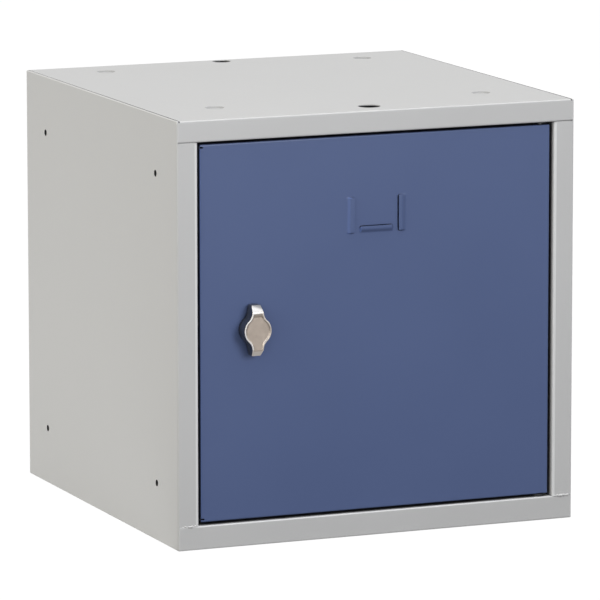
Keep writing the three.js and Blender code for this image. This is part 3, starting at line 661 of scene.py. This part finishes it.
pressed = {  # width in millimetres of the rounded edges that stamping and turning leave, by node
    "upper_hinge_bracket": 0.25,
    "lower_hinge_bracket": 0.25,
    "upper_hinge_pin": 0.2,
    "lower_hinge_pin": 0.2,
    "upper_hinge_bush": 0.15,
    "lower_hinge_bush": 0.15,
    "lower_thrust_washer": 0.12,
    "lock_washer": 0.15,
    "lock_nut": 0.35,
    "stop_washer": 0.2,
    "latch_cam": 0.35,
    "cam_washer": 0.15,
    "cam_screw": 0.2,
}

meshing = {  # degrees above which an edge stays sharp, and millimetres below which points join
    "sharp": 35,
    "merge": 0.001,
    "pieceSharp": 40,
    "pieceMerge": 0.002,
}


def smoothingNodes():
    group = bpy.data.node_groups.new("smoothBends", "GeometryNodeTree")
    for way in ("INPUT", "OUTPUT"):
        group.interface.new_socket("Geometry", in_out=way, socket_type="NodeSocketGeometry")

    def put(kind, **settings):
        made = group.nodes.new(kind)
        for name, value in settings.items():
            setattr(made, name, value)
        return made

    def link(first, output, second, entry):
        group.links.new(first.outputs[output], second.inputs[entry])

    start = put("NodeGroupInput")
    plain = put("GeometryNodeRemoveAttribute")
    plain.inputs["Name"].default_value = "custom_normal"
    merged = put("GeometryNodeMergeByDistance")
    merged.inputs["Distance"].default_value = meshing["merge"] * mm
    smooth = put("GeometryNodeSetShadeSmooth", domain="FACE")
    sharp = put("GeometryNodeSetShadeSmooth", domain="EDGE")
    sharp.inputs["Shade Smooth"].default_value = False
    angle = put("GeometryNodeInputMeshEdgeAngle")
    steep = put("FunctionNodeCompare", data_type="FLOAT", operation="GREATER_THAN")
    steep.inputs[1].default_value = math.radians(meshing["sharp"])
    end = put("NodeGroupOutput")
    link(start, 0, plain, "Geometry")
    link(plain, 0, merged, "Geometry")
    link(merged, 0, smooth, "Geometry")
    link(smooth, 0, sharp, "Geometry")
    link(angle, "Unsigned Angle", steep, 0)
    link(steep, 0, sharp, "Selection")
    link(sharp, 0, end, 0)
    return group


def dressNodes():
    slots = {row["node"]: row["material_slot"] for row in frame["record"]["subparts"]}
    group = smoothingNodes()
    for name, item in frame["nodes"].items():
        item.data.materials[0] = finishes[slots[name]]
        smoothing = item.modifiers.new("smoothBends", "NODES")
        smoothing.node_group = group
        if name in pressed:
            rounding = item.modifiers.new("pressedEdges", "BEVEL")
            rounding.width = pressed[name] * mm
            rounding.segments = 2
            rounding.limit_method = "ANGLE"
            rounding.angle_limit = math.radians(meshing["sharp"])
        weighted = item.modifiers.new("evenNormals", "WEIGHTED_NORMAL")
        weighted.keep_sharp = True
        weighted.weight = 100


dressNodes()
print("frame nodes dressed")

# New pieces, in millimetres about a place of their own


# A surface through rings of points, each closed on itself; with around, the last ring meets the first
def addRings(shape, rings, around=False):
    rows = [[shape.verts.new(point) for point in ring] for ring in rings]
    pairs = zip(rows, rows[1:] + rows[:1]) if around else zip(rows, rows[1:])
    for near, far in pairs:
        for step in range(len(near)):
            after = (step + 1) % len(near)
            shape.faces.new((near[step], near[after], far[after], far[step]))


def placed(centre, points):
    return [(Vector(centre) + Vector(point)) * mm for point in points]


# The middle of a ring, once for each of its points, to close it off
def heart(ring):
    return [sum(ring, Vector()) / len(ring)] * len(ring)


def makePiece(name, shape, slot, body, node=None):
    bmesh.ops.remove_doubles(shape, verts=shape.verts, dist=meshing["pieceMerge"] * mm)
    bmesh.ops.recalc_face_normals(shape, faces=shape.faces)
    for face in shape.faces:
        face.smooth = True
    mesh = bpy.data.meshes.new(name)
    shape.to_mesh(mesh)
    shape.free()
    mesh.set_sharp_from_angle(angle=math.radians(meshing["pieceSharp"]))
    mesh.materials.append(finishes[slot])
    item = bpy.data.objects.new(name, mesh)
    bpy.context.scene.collection.objects.link(item)
    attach(item, body)
    if node:
        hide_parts(node)
    return item


# From 0 to 1 with a level start and end
def eased(share):
    held = min(max(share, 0), 1)
    return held * held * (3 - 2 * held)


# The angles of a quarter turn in equal steps, for a rounded edge
def quarterTurn(steps):
    return [math.radians(90 * step / steps) for step in range(steps + 1)]


# Knob: a die casting with two wings, sloped at their ends, and a face sunk inside a raised rim

knob = {  # lengths in millimetres, and the number of steps of each line
    "front": -14.7,
    "back": -2.3,
    "radius": 12.7,
    "halfLength": 22.65,
    "rootHalf": 6.1,
    "tipHalf": 4.5,
    "tipCorner": 1.4,
    "fillet": 4.0,
    "slopeRun": 5.8,
    "slopeDepth": 5.2,
    "knee": 0.4,
    "rim": 1.1,
    "rimFlat": 0.8,  # share of the rim's width up to which it gets an extra ring
    "rimWall": 0.5,
    "recess": 0.8,
    "ramp": 3.4,
    "edge": 0.4,
    "spindle": 5.0,
    "spindleSunk": 1,
    "squareHalf": 3.5,
    "squareCorner": 4.7,
    "squareFrom": 20.85,
    "shoulder": 0.4,
    "shoulderShare": 0.93,
    "end": 24.7,
    "endEdge": 0.3,
    "endShare": 0.94,
    "point": 0.01,  # share of the size to which the spindle's ends close
    "arcSteps": 18,
    "filletSteps": 14,
    "sideSteps": 12,
    "cornerSteps": 5,
    "tipSteps": 4,
    "edgeSteps": 4,
    "backEdgeSteps": 3,
    "rimSteps": 5,
    "spindleSteps": 32,
    "wallShares": (0.35, 0.7),
    "backShares": (0.0, 0.25, 0.5, 0.75, 1.0),
    "faceShares": (0.85, 0.6, 0.3, 0.0),
}


# Points on a curve that a control point pulls outwards, without the end point
def curved(start, control, end, count):
    def at(share):
        rest = 1 - share
        ways = zip(start, control, end)
        return tuple(a * rest * rest + 2 * b * rest * share + c * share * share for a, b, c in ways)

    return [at(step / count) for step in range(count)]


# The knob's outline, drawn in by an inset: one quarter and its three mirror images
def knobLoop(inset):
    radius, rootHalf = knob["radius"] - inset, knob["rootHalf"] - inset
    tipHalf, end = knob["tipHalf"] - inset, knob["halfLength"] - inset
    root = math.sqrt(radius**2 - rootHalf**2)
    neck = (rootHalf + (tipHalf - rootHalf) * knob["fillet"] / (end - root), root + knob["fillet"])
    turn = math.atan2(root, rootHalf) - knob["fillet"] / radius
    corner = min(knob["tipCorner"], tipHalf / 2)
    leans = [turn * step / knob["arcSteps"] for step in range(knob["arcSteps"] + 1)]
    arc = [(radius * math.cos(lean), radius * math.sin(lean)) for lean in leans]
    fillet = curved(arc.pop(), (rootHalf, root), neck, knob["filletSteps"])
    wide, tall = tipHalf - neck[0], end - corner - neck[1]
    shares = [step / knob["sideSteps"] for step in range(knob["sideSteps"])]
    side = [(neck[0] + wide * share, neck[1] + tall * share) for share in shares]
    flat = tipHalf - corner
    bend = curved((tipHalf, end - corner), (tipHalf, end), (flat, end), knob["cornerSteps"])
    tip = [(flat * (1 - step / knob["tipSteps"]), end) for step in range(knob["tipSteps"] + 1)]
    quarter = arc + fillet + side + bend + tip
    topLeft = [(-x, z) for x, z in reversed(quarter[:-1])]
    lowLeft = [(-x, -z) for x, z in quarter[1:]]
    lowRight = [(x, -z) for x, z in reversed(quarter[1:-1])]
    return quarter + topLeft + lowLeft + lowRight


# How far the front stands off the door's face at a height, a minus for towards the viewer
def knobFront(z):
    past = abs(z) - knob["halfLength"] + knob["slopeRun"]
    lift = (past + math.hypot(past, knob["knee"])) / 2
    return knob["front"] + lift * knob["slopeDepth"] / knob["slopeRun"]


# How far the knob's face is sunk behind its rim at a height
def knobSunk(z):
    if z < 0:
        return max(knob["recess"] - knobFront(z) + knob["front"], 0)
    room = knob["halfLength"] - knob["slopeRun"] - knob["rim"] - z
    return knob["recess"] * eased(room / knob["ramp"])


def knobRings():
    def ring(inset, height, narrow=1.0):
        return placed(latchAxis, [(x * narrow, height(z), z) for x, z in knobLoop(inset)])

    edge, back, rim, steps = knob["edge"], knob["back"], knob["rim"], knob["rimSteps"]
    rings = [ring(edge, lambda z: back, narrow) for narrow in knob["backShares"]]
    for lean in quarterTurn(knob["backEdgeSteps"])[1:]:
        rings.append(ring(edge * (1 - math.sin(lean)), lambda z: back - edge * (1 - math.cos(lean))))
    for share in knob["wallShares"]:
        rings.append(ring(0, lambda z: (back - edge) * (1 - share) + (knobFront(z) + edge) * share))
    for lean in quarterTurn(knob["edgeSteps"]):
        inset = edge * (1 - math.cos(lean))
        rings.append(ring(inset, lambda z: knobFront(z) + edge * (1 - math.sin(lean))))
    rings.append(ring(rim * knob["rimFlat"], knobFront))
    for share in [step / steps for step in range(steps + 1)]:
        inset = rim + knob["rimWall"] * share
        rings.append(ring(inset, lambda z: knobFront(z) + knobSunk(z) * eased(share)))
    for narrow in knob["faceShares"]:
        rings.append(ring(rim + knob["rimWall"], lambda z: knobFront(z) + knobSunk(z), narrow))
    return rings


# The spindle behind the knob, round and then square
def spindleRings():
    def ring(y, square, scale=1.0):
        points = []
        for step in range(knob["spindleSteps"]):
            angle = math.tau * step / knob["spindleSteps"]
            flat = knob["squareHalf"] / max(abs(math.cos(angle)), abs(math.sin(angle)))
            radius = (min(flat, knob["squareCorner"]) if square else knob["spindle"]) * scale
            points.append((radius * math.cos(angle), y, radius * math.sin(angle)))
        return placed(latchAxis, points)

    start, turned, end = knob["back"] - knob["spindleSunk"], knob["squareFrom"], knob["end"]
    rings = [ring(start, False, knob["point"]), ring(start, False)]
    rings += [ring(turned - knob["shoulder"], False), ring(turned, False, knob["shoulderShare"])]
    rings += [ring(turned, True), ring(end - knob["endEdge"], True)]
    return rings + [ring(end, True, knob["endShare"]), ring(end, True, knob["point"])]


def makeKnob():
    shape = bmesh.new()
    addRings(shape, knobRings())
    addRings(shape, spindleRings())
    makePiece("knobCasting", shape, "satin_nickel", "latch", "turn_knob")


# Lock body: a collar, a threaded barrel with two flats, and the stop lug at its end

lockBody = {
    "bore": 5.1,
    "boreEdge": 0.3,
    "collar": 12.0,
    "collarFront": -2.0,
    "collarEdge": 0.7,
    "collarBackEdge": 0.1,
    "barrel": 9.0,
    "flat": 7.7,
    "end": 20.7,
    "pitch": 1.25,
    "threadDepth": 0.5,
    "threadFrom": 1.1,
    "taper": 0.5,  # how much thinner the barrel gets over its last rows
    "taperRows": 4,
    "lugEnd": 21.75,
    "lugEdge": 0.2,
    "lugRoot": 1,
    "lugRootEdge": 0.3,
    "lugInner": 6.7,
    "lugOuter": 8.8,
    "lugAngle": 45,
    "lugHalfAngle": 9,
    "lugSteps": 6,
    "edgeSteps": 4,
    "around": 72,
    "rowsPerTurn": 8,
}


# A short block that stands on the barrel's end and stops the knob's turn
def lugRings():
    middle, half = math.radians(lockBody["lugAngle"]), math.radians(lockBody["lugHalfAngle"])
    steps, root = lockBody["lugSteps"], lockBody["end"] - lockBody["lugRoot"]
    end, edge = lockBody["lugEnd"], lockBody["lugEdge"]
    leans = [middle + half * (2 * step / steps - 1) for step in range(steps + 1)]
    rings = []
    for y, inset in ((root, lockBody["lugRootEdge"]), (root, 0), (end - edge, 0), (end, edge)):
        inner, outer = lockBody["lugInner"] + inset, lockBody["lugOuter"] - inset
        outside = [(outer * math.cos(lean), y, outer * math.sin(lean)) for lean in leans]
        inside = [(inner * math.cos(lean), y, inner * math.sin(lean)) for lean in reversed(leans)]
        rings.append(placed(latchAxis, outside + inside))
    return rings + [heart(rings[-1])]


def makeLockBody():
    turns = [math.tau * step / lockBody["around"] for step in range(lockBody["around"])]

    def plainRing(radius, y):
        points = [(radius * math.cos(turn), y, radius * math.sin(turn)) for turn in turns]
        return placed(latchAxis, points)

    def threadRing(y, shrink):
        points = []
        deep = lockBody["threadDepth"] * eased((y - lockBody["threadFrom"]) / lockBody["pitch"])
        for turn in turns:
            phase = (y / lockBody["pitch"] - turn / math.tau) % 1
            radius = lockBody["barrel"] - deep * eased(1 - abs(2 * phase - 1)) - shrink
            radius = min(radius, lockBody["flat"] / max(abs(math.cos(turn)), 0.001))
            points.append((radius * math.cos(turn), y, radius * math.sin(turn)))
        return placed(latchAxis, points)

    bore, boreEdge, end = lockBody["bore"], lockBody["boreEdge"], lockBody["end"]
    collar, front, edge = lockBody["collar"], lockBody["collarFront"], lockBody["collarEdge"]
    backEdge, taperRows = lockBody["collarBackEdge"], lockBody["taperRows"]
    rings = [plainRing(bore, front + boreEdge), plainRing(bore + boreEdge, front)]
    for lean in quarterTurn(lockBody["edgeSteps"]):
        radius = collar - edge * (1 - math.sin(lean))
        rings.append(plainRing(radius, front + edge * (1 - math.cos(lean))))
    rings += [plainRing(collar, -backEdge), plainRing(collar - backEdge, 0)]
    rows = round(end / lockBody["pitch"] * lockBody["rowsPerTurn"])
    for row in range(rows + 1):
        shrink = lockBody["taper"] * eased((row - rows + taperRows) / taperRows)
        rings.append(threadRing(end * row / rows, shrink))
    rings += [plainRing(bore + boreEdge, end), plainRing(bore, end - boreEdge)]
    shape = bmesh.new()
    addRings(shape, rings, around=True)
    addRings(shape, lugRings())
    makePiece("threadedBarrel", shape, "zinc_plate", "door", "lock_body")


# Weld beads at the foot of each stile, and the thin paint fillets at its top

beads = {
    "outer": 188.6,
    "inner": 170.7,
    "face": -190.0,
    "step": 0.3,
    "around": 12,
    "waves": 3.1,  # from ripple to ripple
    "lumps": 2.6,  # from lump to lump
    "lumpLane": 3.7,  # where in the noise the lumps are taken
    "strays": 1.9,  # from bend to bend of its line
    "strayLane": 8.1,
    "plump": 0.8,
    "endPower": 8,  # the ends taper over less length with a higher power
    "endTaper": 0.9,
}
joints = {
    "WeldBead": {"height": 21.4, "radius": 1.15, "sunk": 0.3, "swell": 0.22, "drift": 0.6},
    "PaintFillet": {"height": 360.35, "radius": 0.3, "sunk": 0.34, "swell": 0.03, "drift": 0.04},
}


def beadRings(joint, hand):
    count = round((beads["outer"] - beads["inner"]) / beads["step"])
    turns = [math.tau * step / beads["around"] for step in range(beads["around"])]
    rings = []
    for row in range(count + 1):
        share = row / count
        x = hand * (beads["inner"] + (beads["outer"] - beads["inner"]) * share)
        uneven = joint["swell"] * math.cos(math.tau * x / beads["waves"])
        uneven += joint["drift"] * noise.noise(Vector((x / beads["lumps"], beads["lumpLane"], 0)))
        tapered = 1 - (2 * share - 1) ** beads["endPower"] * beads["endTaper"]
        radius = joint["radius"] * (beads["plump"] + uneven) * tapered
        stray = noise.noise(Vector((x / beads["strays"], beads["strayLane"], 0)))
        z = joint["height"] + joint["drift"] * stray
        centre = (x, beads["face"] + joint["sunk"], z)
        section = [(0, -radius * math.sin(turn), radius * math.cos(turn)) for turn in turns]
        rings.append(placed(centre, section))
    return [heart(rings[0])] + rings + [heart(rings[-1])]


def makeBeads():
    coat = makePowderCoat(greyPaint, False)
    for hand, side in ((-1, "left"), (1, "right")):
        for name, joint in joints.items():
            shape = bmesh.new()
            addRings(shape, beadRings(joint, hand))
            piece = makePiece(side + name, shape, "carcass_paint", "carcass")
            piece.data.materials[0] = coat


makeKnob()
makeLockBody()
makeBeads()
print("new pieces made")
